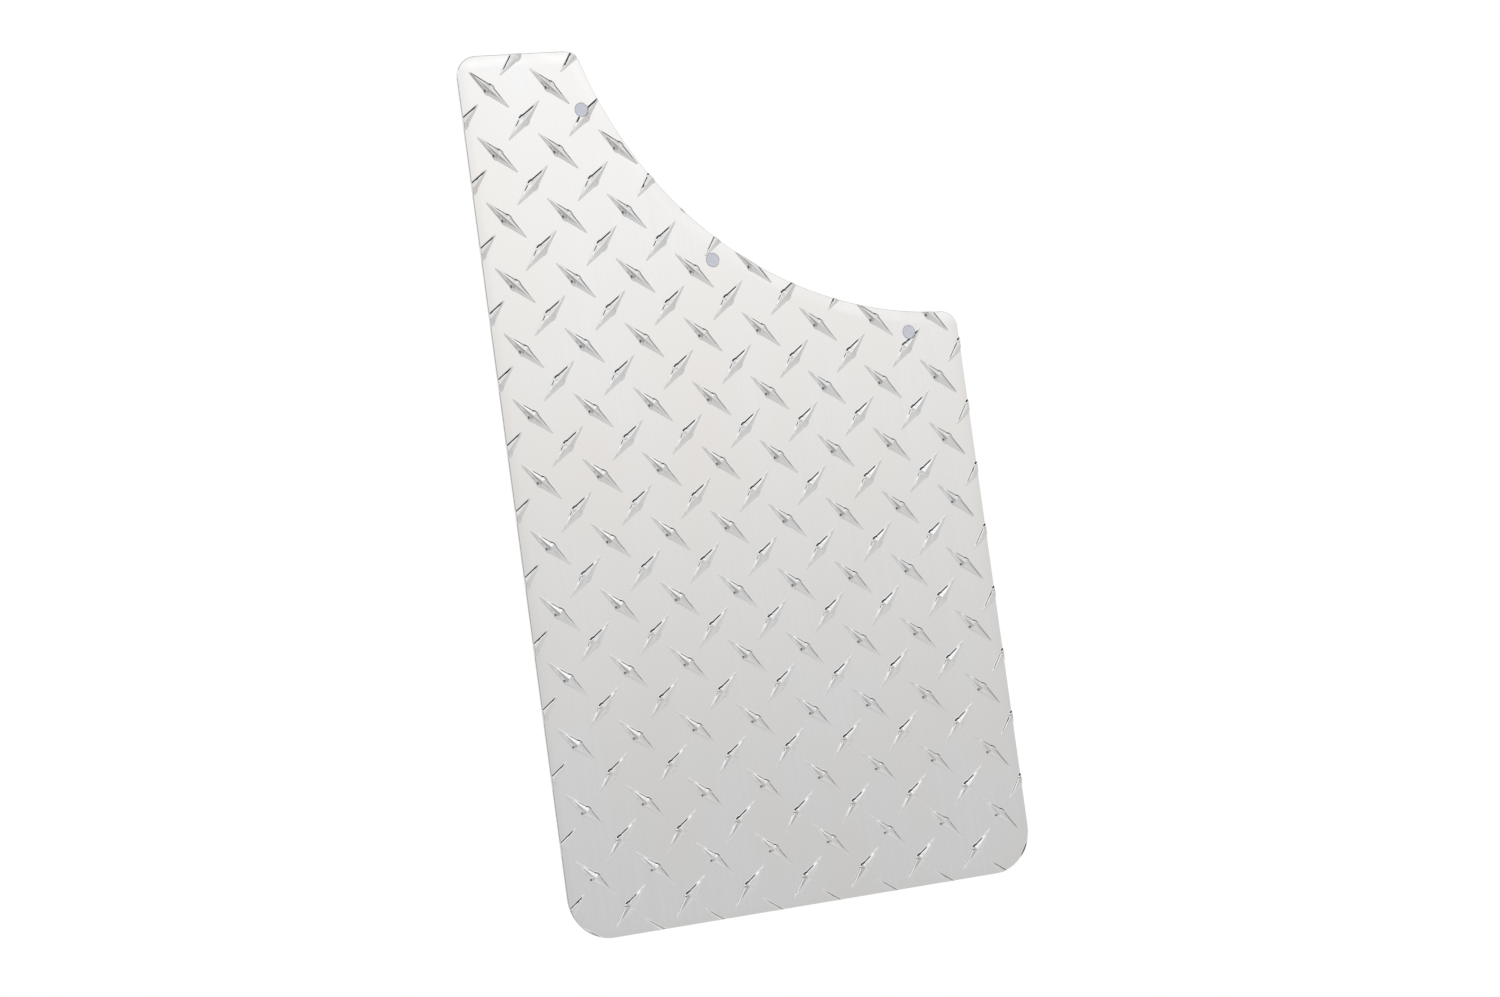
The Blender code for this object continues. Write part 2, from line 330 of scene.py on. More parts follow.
# Depths inside a lug's outline that the triangles follow; the first is flat ground
LUG_DEPTHS = (-0.0009, -0.0006, -0.00035, -0.0001, 0.0, 0.00072, 0.00084)
JOIN_DEPTH = 0.0016  # how far in the line between blade and knuckle is followed
DOME_DEPTHS = (0.0012, 0.0018, 0.0026)
DOME_SIDES = 20
KNUCKLE_STEPS = 10
CREST_LINES = (-0.0002, 0.0, 0.0002)  # across, at the lug's middle
CREST_STOPS = (0.0, 0.0015, 0.004, 0.0142)  # along
TIP_TURNS = (1.0, 0.5, 0.0)  # shares of the turn round a blade's tip


def join_point(depth):
    """Where the blade's and the knuckle's lines at this depth cross, as (along, across)."""
    near = LUG_HALF_WIDTH * cos(LUG_TAPER) - depth
    half_chord = sqrt((KNUCKLE_RADIUS - depth) ** 2 - near**2)
    along = near * sin(LUG_TAPER) + half_chord * cos(LUG_TAPER)
    return along, near * cos(LUG_TAPER) - half_chord * sin(LUG_TAPER)


def blade_line(depth):
    """From the knuckle to the tip at this depth inside the outline, and round the tip if outside it."""
    if depth >= 0:
        return [join_point(depth), ((LUG_HALF_WIDTH - depth / cos(LUG_TAPER)) / tan(LUG_TAPER), 0.0)]
    turns = [(pi / 2 - LUG_TAPER) * share for share in TIP_TURNS]
    return [join_point(depth)] + [(LUG_HALF_LENGTH - depth * cos(a), -depth * sin(a)) for a in turns]


def draw_lug(plan, centre, turn):
    """Lines along a lug's two blades, round its knuckle and along their join."""
    def add(points, end=1, side=1, closed=False):
        placed = []
        for along, across in points:
            along, across = along * end, across * side
            u = centre[0] + along * cos(turn) - across * sin(turn)
            placed.append((u, centre[1] + along * sin(turn) + across * cos(turn)))
        plan.add(placed, closed)

    for side in (-1, 1):
        for end in (-1, 1):
            for depth in LUG_DEPTHS:
                add(blade_line(depth), end, side)
            add([join_point(depth) for depth in (*LUG_DEPTHS, JOIN_DEPTH)], end, side)
        for depth in LUG_DEPTHS:
            along, across = join_point(depth)
            turns = [atan2(along, across) * (2 * i / KNUCKLE_STEPS - 1) for i in range(KNUCKLE_STEPS + 1)]
            radius = KNUCKLE_RADIUS - depth
            add([(radius * sin(a), radius * cos(a)) for a in turns], side=side)
    for depth in DOME_DEPTHS:
        add(circle((0, 0), KNUCKLE_RADIUS - depth, DOME_SIDES), closed=True)
    for end in (-1, 1):
        for width in CREST_LINES:
            add([(s, width * (1 - s / LUG_HALF_LENGTH)) for s in CREST_STOPS], end)


def lug_places():
    """The middle and the turn of every lug that may touch the sheet."""
    for column in range(-1, ceil(WIDTH / PITCH) + 1):
        for row in range(-1, ceil(HEIGHT / PITCH) + 1):
            for (u, v), turn in LUG_FAMILIES:
                yield (u + column * PITCH, v + row * PITCH), turn


def boundary(triangles):
    """The directed edges that only one triangle has."""
    edges = np.concatenate([triangles[:, [0, 1]], triangles[:, [1, 2]], triangles[:, [2, 0]]])
    known = {tuple(e) for e in edges.tolist()}
    return np.array([e for e in known if (e[1], e[0]) not in known])


def front_triangles():
    """The front's points, as (u, v), and its triangles."""
    plan = Plan()
    for depth in EDGE_DEPTHS:
        plan.add(outline(depth), closed=True)
    for hole in HOLES:
        for depth in HOLE_DEPTHS:
            plan.add(circle(hole, HOLE_RADIUS + depth, HOLE_SIDES), closed=True)
    for centre, turn in lug_places():
        if depth_inside(*np.array(centre)) > -LUG_HALF_LENGTH:
            draw_lug(plan, centre, turn)
    points, triangles, _ = fill(plan.points, plan.lines)
    middles = points[triangles].mean(axis=1)
    keep = inside_polygon(middles, outline(0))
    for hole in HOLES:
        keep &= ~inside_polygon(middles, circle(hole, HOLE_RADIUS, HOLE_SIDES))
    used, triangles = np.unique(triangles[keep], return_inverse=True)
    return points[used], triangles.reshape(-1, 3)


# Rows down the cut edge, the last of which is also the back's outline: how far in from the outline, and y
EDGE_ROWS = ((0.0, -0.0009), (0.00003, -0.00055), (0.00005, -0.0002), (0.00014, 0.0))
BACK_RIM_TILT = (0.6, 0.8)  # how much the last row's normals face out of the edge, and back


def back_triangles(points, edges):
    """Triangles over the back, facing +Y, as indices of these points, which the edges join."""
    filled, triangles, sources = fill(points, edges, True)
    middles = filled[triangles].mean(axis=1)
    least = EDGE_ROWS[-1][0] / 2
    keep = depth_inside(middles[:, 0], middles[:, 1]) > least
    for cu, cv in HOLES:
        keep &= np.hypot(middles[:, 0] - cu, middles[:, 1] - cv) > HOLE_RADIUS + least
    return [[sources[c][0], sources[b][0], sources[a][0]] for a, b, c in triangles[keep].tolist()]


def make_plate(front_material, edge_material, back_material):
    """The sheet in one mesh: the front with its lugs, the wall round its edge and its holes, and the back."""
    points, triangles = front_triangles()
    u, v = points[:, 0], points[:, 1]
    edges = boundary(triangles)
    rim = np.unique(edges)
    place_in_rim = {int(r): i for i, r in enumerate(rim)}
    out = outward(u[rim], v[rim])
    out_3d = np.stack([out[:, 0], np.zeros(len(rim)), out[:, 1]], axis=1)

    verts = [np.stack([u, -SHEET - front_height(u, v), v], axis=1)]
    normals = [np.zeros((len(u), 3))]
    normals[0][rim] = out_3d * RIM_TILT[0] - np.array([0, RIM_TILT[1], 0])
    for inset, y in EDGE_ROWS:
        middle = np.stack([u[rim], np.full(len(rim), y), v[rim]], axis=1)
        verts.append(middle - out_3d * inset)
        normals.append(out_3d if y < 0 else out_3d * BACK_RIM_TILT[0] + np.array([0, BACK_RIM_TILT[1], 0]))

    row_starts = [len(u) + row * len(rim) for row in range(len(EDGE_ROWS))]
    wall = []
    for a, b in edges.tolist():
        above = (a, b)
        for start in row_starts:
            below = (start + place_in_rim[a], start + place_in_rim[b])
            wall.append((above[0], below[0], below[1], above[1]))
            above = below
    back_edges = [(place_in_rim[a], place_in_rim[b]) for a, b in edges.tolist()]
    back = back_triangles(verts[-1][:, [0, 2]].tolist(), back_edges)
    back = [[row_starts[-1] + corner for corner in face] for face in back]

    mesh = bpy.data.meshes.new("tread_sheet")
    verts = np.concatenate(verts) + np.array([CORNER.x, 0, CORNER.z])
    mesh.from_pydata(verts.tolist(), [], triangles.tolist() + wall + back)
    for material in (front_material, edge_material, back_material):
        mesh.materials.append(material)
    kinds = [0] * len(triangles) + [1] * len(wall) + [2] * len(back)
    mesh.polygons.foreach_set("material_index", kinds)
    mesh.shade_smooth()
    edge_depth = np.concatenate([depth_inside(u, v), np.zeros(len(rim) * len(EDGE_ROWS))])
    attribute = mesh.attributes.new("depth", "FLOAT", "POINT")
    attribute.data.foreach_set("value", edge_depth)

    front_corners = triangles.reshape(-1)
    shading = corner_normals(points, triangles)
    at_rim = np.isin(front_corners, rim)
    shading[at_rim] = normals[0][front_corners[at_rim]]
    shading = np.concatenate([shading, np.concatenate(normals)[np.array(wall).reshape(-1)]])
    shading /= np.linalg.norm(shading, axis=1, keepdims=True)
    mesh.update()
    mesh.normals_split_custom_set(shading.tolist() + [(0.0, 1.0, 0.0)] * (3 * len(back)))
    return finish_piece(mesh, "tread_sheet", "tread_plate")


# ---------------------------------------------------------------- pieces round a stud's axis

def finish_piece(mesh, name, node, place=(0, 0, 0)):
    """The object of this mesh, riding on the frame and standing for its CAD node."""
    obj = bpy.data.objects.new(name, mesh)
    bpy.context.scene.collection.objects.link(obj)
    obj.location = place
    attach(obj, "root")
    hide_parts(node)
    return obj


def skin(name, rings, closed, material, sharp=35):
    """A mesh through rings of equally many points: closed round on itself, or with an end face each end."""
    bm = bmesh.new()
    rows = [[bm.verts.new(p) for p in ring] for ring in rings]
    pairs = list(zip(rows, rows[1:]))
    if closed:
        pairs.append((rows[-1], rows[0]))
    else:
        bm.faces.new(rows[0])
        bm.faces.new(rows[-1])
    for here, there in pairs:
        for i in range(len(here)):
            j = (i + 1) % len(here)
            bm.faces.new([here[i], here[j], there[j], there[i]])
    bmesh.ops.recalc_face_normals(bm, faces=bm.faces)
    mesh = bpy.data.meshes.new(name)
    bm.to_mesh(mesh)
    bm.free()
    mesh.materials.append(material)
    mesh.shade_smooth()
    mesh.set_sharp_from_angle(angle=radians(sharp))
    return mesh


def ring(turns, radius, y):
    """Points round the axis. The radius and y may be numbers or functions of the turn."""
    def at(value, a):
        return value(a) if callable(value) else value

    return [(at(radius, a) * sin(a), at(y, a), at(radius, a) * cos(a)) for a in turns]


def even_turns(sides):
    return [2 * pi * i / sides for i in range(sides)]


def thread_radius(turn, y, clearance=0.0):
    """The radius of the helical thread's surface at this turn and y."""
    phase = (y / THREAD_PITCH - turn / (2 * pi)) % 1
    crest = abs(2 * phase - 1)
    return THREAD_RADIUS + clearance - THREAD_DEPTH * min(max((0.875 - crest) / 0.625, 0), 1)


def make_stud(name, place, material):
    """A flush head with a turned face and an eased rim, a plain neck, and a rolled thread."""
    turns = even_turns(48)
    front = -SHEET
    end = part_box(name)[1].y
    # The head, from its middle outwards, and the plain neck, as (radius, y)
    profile = [
        (0.0004, front + 0.00005), (0.0016, front + 0.00004), (0.0030, front + 0.00002),
        (0.0037, front), (HEAD_RADIUS - 0.00012, front + 0.00001),
        (HEAD_RADIUS - 0.00003, front + 0.00006), (HEAD_RADIUS, front + 0.00016),
        (HEAD_RADIUS, front + 0.00068), (HEAD_RADIUS - 0.0001, front + 0.0008),
        (THREAD_RADIUS + 0.0001, front + 0.0008), (THREAD_RADIUS, front + 0.0009), (THREAD_RADIUS, 0.0004),
    ]
    rings = [ring(turns, r, y) for r, y in profile]
    step = THREAD_PITCH / ROWS_PER_TURN
    first, last = 0.0005, end - 0.0004  # where the thread starts and stops
    chamfer = 0.0007
    for row in range(int(round((last - first) / step)) + 1):
        y = first + row * step
        run_in = min(max((y - first) / THREAD_PITCH, 0), 1)
        tip = THREAD_RADIUS - max(0, y - (end - chamfer))

        def radius(a, y=y, run_in=run_in, tip=tip):
            cut = THREAD_RADIUS - thread_radius(a, y)
            return min(THREAD_RADIUS - cut * run_in, tip)

        rings.append(ring(turns, radius, y))
    rings.append(ring(turns, THREAD_RADIUS - 0.00075, end - 0.0001))
    rings.append(ring(turns, THREAD_RADIUS - 0.0009, end))
    rings.append(ring(turns, 0.0004, end))
    mesh = skin(f"{name}_turned", rings, False, material)
    return finish_piece(mesh, f"{name}_turned", name, place)


def make_washer(name, place, material):
    """A stamped washer: one side rolled over, the other with a fine burr edge."""
    low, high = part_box(name)
    y0, y1 = low.y, high.y
    inner, outer = BORE_RADIUS, (high.x - low.x) / 2
    profile = [
        (inner + 0.00002, y0 + 0.0001), (inner + 0.00012, y0), (outer - 0.00006, y0), (outer, y0 + 0.00005),
        (outer, y1 - 0.0004), (outer - 0.00009, y1 - 0.00016), (outer - 0.00028, y1 - 0.00003),
        (outer - 0.0006, y1), (inner + 0.0005, y1), (inner + 0.00022, y1 - 0.00004),
        (inner + 0.00006, y1 - 0.00018), (inner, y1 - 0.0004),
    ]
    mesh = skin(f"{name}_stamped", [ring(even_turns(64), r, y) for r, y in profile], True, material)
    return finish_piece(mesh, f"{name}_stamped", name, place)


def make_lock_washer(name, place, material):
    """A coil of eased square wire, split at the top, with its ends cut on a slant."""
    low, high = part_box(name)
    rise = high.y - low.y - LOCK_WIRE
    inner, outer = BORE_RADIUS, (high.x - low.x) / 2
    ease = LOCK_EASE
    section = []
    for radius, side, turns in (
        (inner + ease, 0, (180, 225, 270)), (outer - ease, 0, (270, 315, 360)),
        (outer - ease, 1, (0, 45, 90)), (inner + ease, 1, (90, 135, 180)),
    ):
        centre = LOCK_WIRE - ease if side else ease
        section += [(radius + ease * cos(radians(a)), centre + ease * sin(radians(a))) for a in turns]
    first = radians(LOCK_SLOT / 2) + LOCK_SLANT / 2
    sweep = 2 * pi - radians(LOCK_SLOT) - LOCK_SLANT
    rings = []
    for i in range(LOCK_STEPS + 1):
        share = i / LOCK_STEPS
        near_end = max(1 - 6 * min(share, 1 - share), 0)  # the slant dies out over a sixth of the coil
        points = []
        for radius, y in section:
            turn = first + share * sweep + LOCK_SLANT * (y / LOCK_WIRE - 0.5) * near_end
            points.append((radius * sin(turn), low.y + rise * share + y, radius * cos(turn)))
        rings.append(points)
    mesh = skin(f"{name}_coil", rings, False, material)
    return finish_piece(mesh, f"{name}_coil", name, place)


def make_nut(name, place, material):
    """A hexagon nut with chamfered corners, a countersink each side and a thread that meets the stud's."""
    low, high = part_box(name)
    y0, y1 = low.y, high.y
    # A turn starts from +Z, where a flat's middle lies, so the corners lie half a flat further round
    turns = []
    for k in range(6):
        corner = pi / 6 + k * pi / 3 + pi / 3
        turns += [corner + radians(a) for a in (-0.9, 0.9, 6, 12, 18, 24, 30, 36, 42, 48, 54)]
    turns = sorted(a % (2 * pi) for a in turns)

    def hexagon(a, inset=0.0):
        off = a % (pi / 3)
        flat = (NUT_FLATS / 2 - inset) / cos(min(off, pi / 3 - off))
        return min(flat, NUT_CORNER_RADIUS - inset)

    def chamfer(a, inset=0.0):
        return max(hexagon(a, inset) - NUT_FACE_RADIUS, 0) * tan(radians(30))

    def bore(a, y):
        sink = BORE_RADIUS + 0.0001 - 0.9 * min(y - y0, y1 - y)
        return max(thread_radius(a, y, THREAD_CLEARANCE), sink)

    step = THREAD_PITCH / ROWS_PER_TURN
    rings = []
    rows = int(round((y1 - y0) / step))
    for row in range(rows + 1):
        y = y0 + row * step
        rings.append(ring(turns, lambda a, y=y: bore(a, y), y))
    rings.append(ring(turns, NUT_FACE_RADIUS - 0.0002, y1))
    rings.append(ring(turns, NUT_FACE_RADIUS - 0.00003, y1 - 0.00002))
    rings.append(ring(turns, lambda a: hexagon(a, 0.0001), lambda a: y1 - 0.00004 - chamfer(a, 0.0001)))
    rings.append(ring(turns, hexagon, lambda a: y1 - 0.00016 - chamfer(a)))
    rings.append(ring(turns, hexagon, lambda a: y0 + 0.00016 + chamfer(a)))
    rings.append(ring(turns, lambda a: hexagon(a, 0.0001), lambda a: y0 + 0.00004 + chamfer(a, 0.0001)))
    rings.append(ring(turns, NUT_FACE_RADIUS - 0.00003, y0 + 0.00002))
    rings.append(ring(turns, NUT_FACE_RADIUS - 0.0002, y0))
    mesh = skin(f"{name}_cut", rings, True, material)
    return finish_piece(mesh, f"{name}_cut", name, place)


# ---------------------------------------------------------------- materials

class Nodes:
    """Short ways to add and join shader nodes."""

    def __init__(self, tree):
        self.tree = tree

    def add(self, kind, inputs=None, **settings):
        node = self.tree.nodes.new(kind)
        for key, value in settings.items():
            setattr(node, key, value)
        for key, value in (inputs or {}).items():
            if isinstance(value, bpy.types.NodeSocket):
                self.tree.links.new(value, node.inputs[key])
            else:
                node.inputs[key].default_value = value
        return node

    def math(self, operation, *values):
        return self.add("ShaderNodeMath", dict(enumerate(values)), operation=operation).outputs[0]

    def range(self, value, low, high, to_low=0.0, to_high=1.0, smooth=False):
        inputs = {"Value": value, "From Min": low, "From Max": high, "To Min": to_low, "To Max": to_high}
        kind = "SMOOTHSTEP" if smooth else "LINEAR"
        return self.add("ShaderNodeMapRange", inputs, interpolation_type=kind).outputs[0]

    def noise(self, place, stretch, detail=3.0, rough=0.5):
        """Noise whose grains have these sizes, in metres, along x, y and z."""
        scale = tuple(1 / size for size in stretch)
        moved = self.add("ShaderNodeMapping", {"Vector": place, "Scale": scale}).outputs[0]
        inputs = {"Vector": moved, "Scale": 1.0, "Detail": detail, "Roughness": rough}
        return self.add("ShaderNodeTexNoise", inputs).outputs[0]

    def mix(self, share, first, second):
        node = self.add("ShaderNodeMix", data_type="RGBA")
        for socket, value in ((node.inputs[0], share), (node.inputs[6], first), (node.inputs[7], second)):
            if isinstance(value, bpy.types.NodeSocket):
                self.tree.links.new(value, socket)
            else:
                socket.default_value = value if isinstance(value, float) else (*value, 1.0)
        return node.outputs[2]


def new_metal(name):
    material = bpy.data.materials.new(name)
    material.use_nodes = True
    nodes = Nodes(material.node_tree)
    shader = material.node_tree.nodes["Principled BSDF"]
    shader.inputs["Metallic"].default_value = 1.0
    place = nodes.add("ShaderNodeTexCoord").outputs["Object"]
    return material, nodes, shader, place


def link(nodes, output, socket):
    """Feeds a shader's or a background's socket from this output."""
    nodes.tree.links.new(output, socket)


def mill_aluminium():
    """Bright rolled aluminium: upright streaks, faint clouds, and a darker, warmer and duller band beside the
    cut edge.
    """
    material, nodes, shader, place = new_metal("mill_aluminium")
    wide = nodes.noise(place, (0.0022, 0.0022, 0.16), 4.0, 0.55)
    fine = nodes.noise(place, (0.0005, 0.0005, 0.05), 3.0, 0.6)
    clouds = nodes.noise(place, (0.05, 0.05, 0.08), 2.0, 0.5)
    specks = nodes.noise(place, (0.0009, 0.0009, 0.0009), 2.0, 0.5)
    depth = nodes.add("ShaderNodeAttribute", attribute_name="depth").outputs["Fac"]
    edge = nodes.range(depth, 0.0, 0.007, 1.0, 0.0, smooth=True)

    streaks = nodes.math("MULTIPLY_ADD", fine, 0.4, nodes.math("MULTIPLY", wide, 0.6))
    streaks = nodes.range(streaks, 0.35, 0.65)
    clean = nodes.mix(streaks, (0.895, 0.893, 0.893), (0.925, 0.925, 0.93))
    warm = nodes.mix(nodes.range(clouds, 0.4, 0.65), clean, (0.905, 0.895, 0.88))
    # The colour turns darker and warmer towards the edge, within 7 mm of it.
    edge_darkened = nodes.mix(nodes.math("MULTIPLY", edge, 0.25), warm, (0.83, 0.815, 0.79))
    link(nodes, edge_darkened, shader.inputs["Base Color"])

    rough = nodes.range(streaks, 0.0, 1.0, 0.065, 0.09)
    rough = nodes.math("ADD", rough, nodes.math("MULTIPLY", edge, 0.05))
    link(nodes, rough, shader.inputs["Roughness"])

    relief = nodes.math("MULTIPLY_ADD", wide, 1.0, nodes.math("MULTIPLY", fine, 0.5))
    relief = nodes.math("ADD", relief, nodes.math("MULTIPLY", specks, 0.12))
    bump = nodes.add("ShaderNodeBump", {"Strength": 1.0, "Distance": 0.000004, "Height": relief})
    link(nodes, bump.outputs[0], shader.inputs["Normal"])
    return material


def lug_marks(nodes, place):
    """How near each point of the sheet is to the middle line of a lug, from 0 to 1."""
    x, _, z = nodes.add("ShaderNodeSeparateXYZ", {0: place}).outputs
    nearest = 0.0
    for (lug_u, lug_v), turn in LUG_FAMILIES:
        du = nodes.math("WRAP", nodes.math("SUBTRACT", x, CORNER.x + lug_u), PITCH / 2, -PITCH / 2)
        dv = nodes.math("WRAP", nodes.math("SUBTRACT", z, CORNER.z + lug_v), PITCH / 2, -PITCH / 2)
        along = nodes.math("MULTIPLY_ADD", du, cos(turn), nodes.math("MULTIPLY", dv, sin(turn)))
        across = nodes.math("MULTIPLY_ADD", du, -sin(turn), nodes.math("MULTIPLY", dv, cos(turn)))
        along = nodes.math("DIVIDE", nodes.math("ABSOLUTE", along), LUG_HALF_LENGTH)
        across = nodes.math("DIVIDE", nodes.math("ABSOLUTE", across), KNUCKLE_RADIUS)
        near = nodes.math("SUBTRACT", nodes.math("SUBTRACT", 1.0, along), across)
        nearest = nodes.math("MAXIMUM", nearest, near)
    return nodes.range(nearest, 0.0, 0.6, smooth=True)


def rolled_back():
    """The sheet's back: smooth and a little duller, with long streaks and a faint print of each lug."""
    material, nodes, shader, place = new_metal("rolled_back")
    wide = nodes.noise(place, (0.004, 0.004, 0.25), 4.0, 0.6)
    fine = nodes.noise(place, (0.0006, 0.0006, 0.06), 3.0, 0.6)
    clouds = nodes.noise(place, (0.09, 0.09, 0.14), 3.0, 0.55)
    prints = lug_marks(nodes, place)
    streaks = nodes.math("MULTIPLY_ADD", fine, 0.4, nodes.math("MULTIPLY", wide, 0.6))
    streaks = nodes.range(streaks, 0.35, 0.65)
    colour = nodes.mix(streaks, (0.83, 0.835, 0.84), (0.91, 0.91, 0.915))
    colour = nodes.mix(nodes.range(clouds, 0.4, 0.7, 0.0, 0.6), colour, (0.82, 0.82, 0.82))
    colour = nodes.mix(nodes.math("MULTIPLY", prints, 0.5), colour, (0.78, 0.785, 0.79))
    link(nodes, colour, shader.inputs["Base Color"])
    rough = nodes.range(streaks, 0.0, 1.0, 0.30, 0.20)
    link(nodes, nodes.math("MULTIPLY_ADD", prints, 0.10, rough), shader.inputs["Roughness"])
    relief = nodes.math("MULTIPLY_ADD", wide, 0.15, nodes.math("MULTIPLY", fine, 0.08))
    relief = nodes.math("SUBTRACT", relief, prints)
    bump = nodes.add("ShaderNodeBump", {"Strength": 1.0, "Distance": 0.00004, "Height": relief})
    link(nodes, bump.outputs[0], shader.inputs["Normal"])
    return material


def sheared_aluminium():
    """The cut edge: a burnished band and a torn, duller one, with fine marks across it."""
    material, nodes, shader, place = new_metal("sheared_aluminium")
    marks = nodes.noise(place, (0.0002, 0.003, 0.0002), 3.0, 0.6)
    split = nodes.add("ShaderNodeSeparateXYZ", {0: place}).outputs[1]
    torn = nodes.range(split, -0.0009, -0.0005, smooth=True)
    colour = nodes.mix(marks, (0.80, 0.80, 0.80), (0.90, 0.90, 0.90))
    colour = nodes.mix(nodes.math("MULTIPLY", torn, 0.5), colour, (0.70, 0.70, 0.70))
    link(nodes, colour, shader.inputs["Base Color"])
    link(nodes, nodes.range(torn, 0.0, 1.0, 0.25, 0.45), shader.inputs["Roughness"])
    bump = nodes.add("ShaderNodeBump", {"Strength": 0.6, "Distance": 0.00002, "Height": marks})
    link(nodes, bump.outputs[0], shader.inputs["Normal"])
    return material


def plated_steel(name, pale, dark, smooth, dull, grain):
    """Plated steel: mottled plate, finer grain, and painted shade in the thread's roots, darker in from the
    crests.
    """
    material, nodes, shader, place = new_metal(name)
    mottle = nodes.noise(place, (0.0018,) * 3, 3.0, 0.6)
    grains = nodes.noise(place, (grain,) * 3, 4.0, 0.65)
    split = nodes.add("ShaderNodeSeparateXYZ", {0: place})
    x, y, z = split.outputs
    squares = nodes.math("MULTIPLY_ADD", x, x, nodes.math("MULTIPLY", z, z))
    radius = nodes.math("SQRT", squares)
    # Painted shade: the colour darkens from the thread's crests into its roots, behind the front face.
    root = nodes.range(radius, THREAD_RADIUS - THREAD_DEPTH, THREAD_RADIUS - 0.0001, 1.0, 0.0)
    behind = nodes.range(y, -0.0002, 0.0002)
    root = nodes.math("MULTIPLY", nodes.math("MULTIPLY", root, behind), 0.7)
    share = nodes.math("MULTIPLY_ADD", grains, 0.4, nodes.math("MULTIPLY", mottle, 0.6))
    colour = nodes.mix(nodes.range(share, 0.35, 0.65), dark, pale)
    # Mixes in the painted shade of the thread's roots.
    colour = nodes.mix(root, colour, tuple(c * 0.45 for c in dark))
    link(nodes, colour, shader.inputs["Base Color"])
    link(nodes, nodes.range(share, 0.35, 0.65, dull, smooth), shader.inputs["Roughness"])
    bump = nodes.add("ShaderNodeBump", {"Strength": 0.5, "Distance": 0.00001, "Height": grains})
    link(nodes, bump.outputs[0], shader.inputs["Normal"])
    return material


# ---------------------------------------------------------------- studio and camera

# How bright the studio in front of the sheet is, by elevation in degrees
STUDIO = (
    (-90, (0.60, 0.60, 0.60)), (-40, (0.64, 0.64, 0.64)), (-18, (0.72, 0.72, 0.72)),
    (-13, (0.70, 0.695, 0.69)), (-8, (0.64, 0.64, 0.64)), (-2, (0.61, 0.61, 0.61)),
    (4, (0.62, 0.602, 0.586)), (10, (0.64, 0.63, 0.625)), (14, (0.80, 0.80, 0.80)),
    (19, (0.82, 0.82, 0.82)), (24, (0.78, 0.78, 0.78)), (29, (1.00, 1.00, 1.00)),
    (32, (1.10, 1.10, 1.10)), (39, (1.10, 1.10, 1.10)), (45, (0.04, 0.045, 0.05)),
    (90, (0.04, 0.045, 0.05)),
)
# Soft lights and dark things in it: azimuths and elevations, in degrees, where each starts, is full from and
# to, and ends, and how much light it adds or takes away
PATCHES = (
    ((18.5, 22.5, 30, 35), (-5.5, 11.0, 13, 20), 0.385),
    ((3, 9, 15, 20), (-13, -6, 1, 8), -0.22),
    ((48, 74, 135, 150), (6, 14, 24, 30), -0.55),
    ((48, 74, 135, 150), (22, 30, 46, 52), -0.85),
    ((-100, -75, -42, -30), (-38, -28, 10, 20), -0.56),
    ((-100, -75, -38, -28), (33, 42, 50, 60), -1.06),
    ((-2, 3, 8, 13), (9, 13, 18, 23), 0.22),
    ((14, 22, 40, 50), (18, 26, 44, 50), -0.24),
)
DARKEST = 0.04  # the patches take no more light away than leaves this
BEHIND = (0.40, 0.98)  # how bright it is behind the sheet, low down and high up
BEHIND_SPAN = (-0.45, 0.30)  # the heights, in a sphere of radius 1, between which that changes
BEHIND_START = (0.25, 0.6)  # how far back, in the same sphere, what is behind begins and is full


def make_world():
    """The studio, as light by direction. The camera itself sees plain white."""
    world = bpy.data.worlds.new("studio")
    bpy.context.scene.world = world
    world.use_nodes = True
    tree = world.node_tree
    nodes = Nodes(tree)
    place = nodes.add("ShaderNodeTexCoord").outputs["Generated"]
    split = nodes.add("ShaderNodeSeparateXYZ", {0: place}).outputs
    ramp = nodes.add("ShaderNodeValToRGB", {"Fac": nodes.range(split[2], -1.0, 1.0)})
    stops = ramp.color_ramp.elements
    for index, (elevation, value) in enumerate(STUDIO):
        spot = (sin(radians(elevation)) + 1) / 2
        stop = stops[index] if index < 2 else stops.new(spot)
        stop.position = spot
        stop.color = (*value, 1.0)
    light = ramp.outputs[0]
    azimuth = nodes.math("ARCTAN2", split[0], nodes.math("MULTIPLY", split[1], -1.0))
    elevation = nodes.math("ARCSINE", split[2])
    for azimuths, elevations, amount in PATCHES:
        share = amount
        for angle, (start, full, full_end, end) in ((azimuth, azimuths), (elevation, elevations)):
            rise = nodes.range(angle, radians(start), radians(full), smooth=True)
            fall = nodes.range(angle, radians(full_end), radians(end), 1.0, 0.0, smooth=True)
            share = nodes.math("MULTIPLY", nodes.math("MULTIPLY", rise, fall), share)
        light = nodes.add("ShaderNodeVectorMath", {0: light, 1: share}, operation="ADD").outputs[0]
    light = nodes.add("ShaderNodeVectorMath", {0: light, 1: (DARKEST,) * 3}, operation="MAXIMUM").outputs[0]
    behind = nodes.range(split[1], *BEHIND_START, smooth=True)
    far = nodes.range(split[2], *BEHIND_SPAN, *BEHIND, smooth=True)
    light = nodes.mix(behind, light, far)
    seen = nodes.add("ShaderNodeLightPath").outputs["Is Camera Ray"]
    light = nodes.mix(seen, light, (1.0, 1.0, 1.0))
    link(nodes, light, tree.nodes["Background"].inputs["Color"])


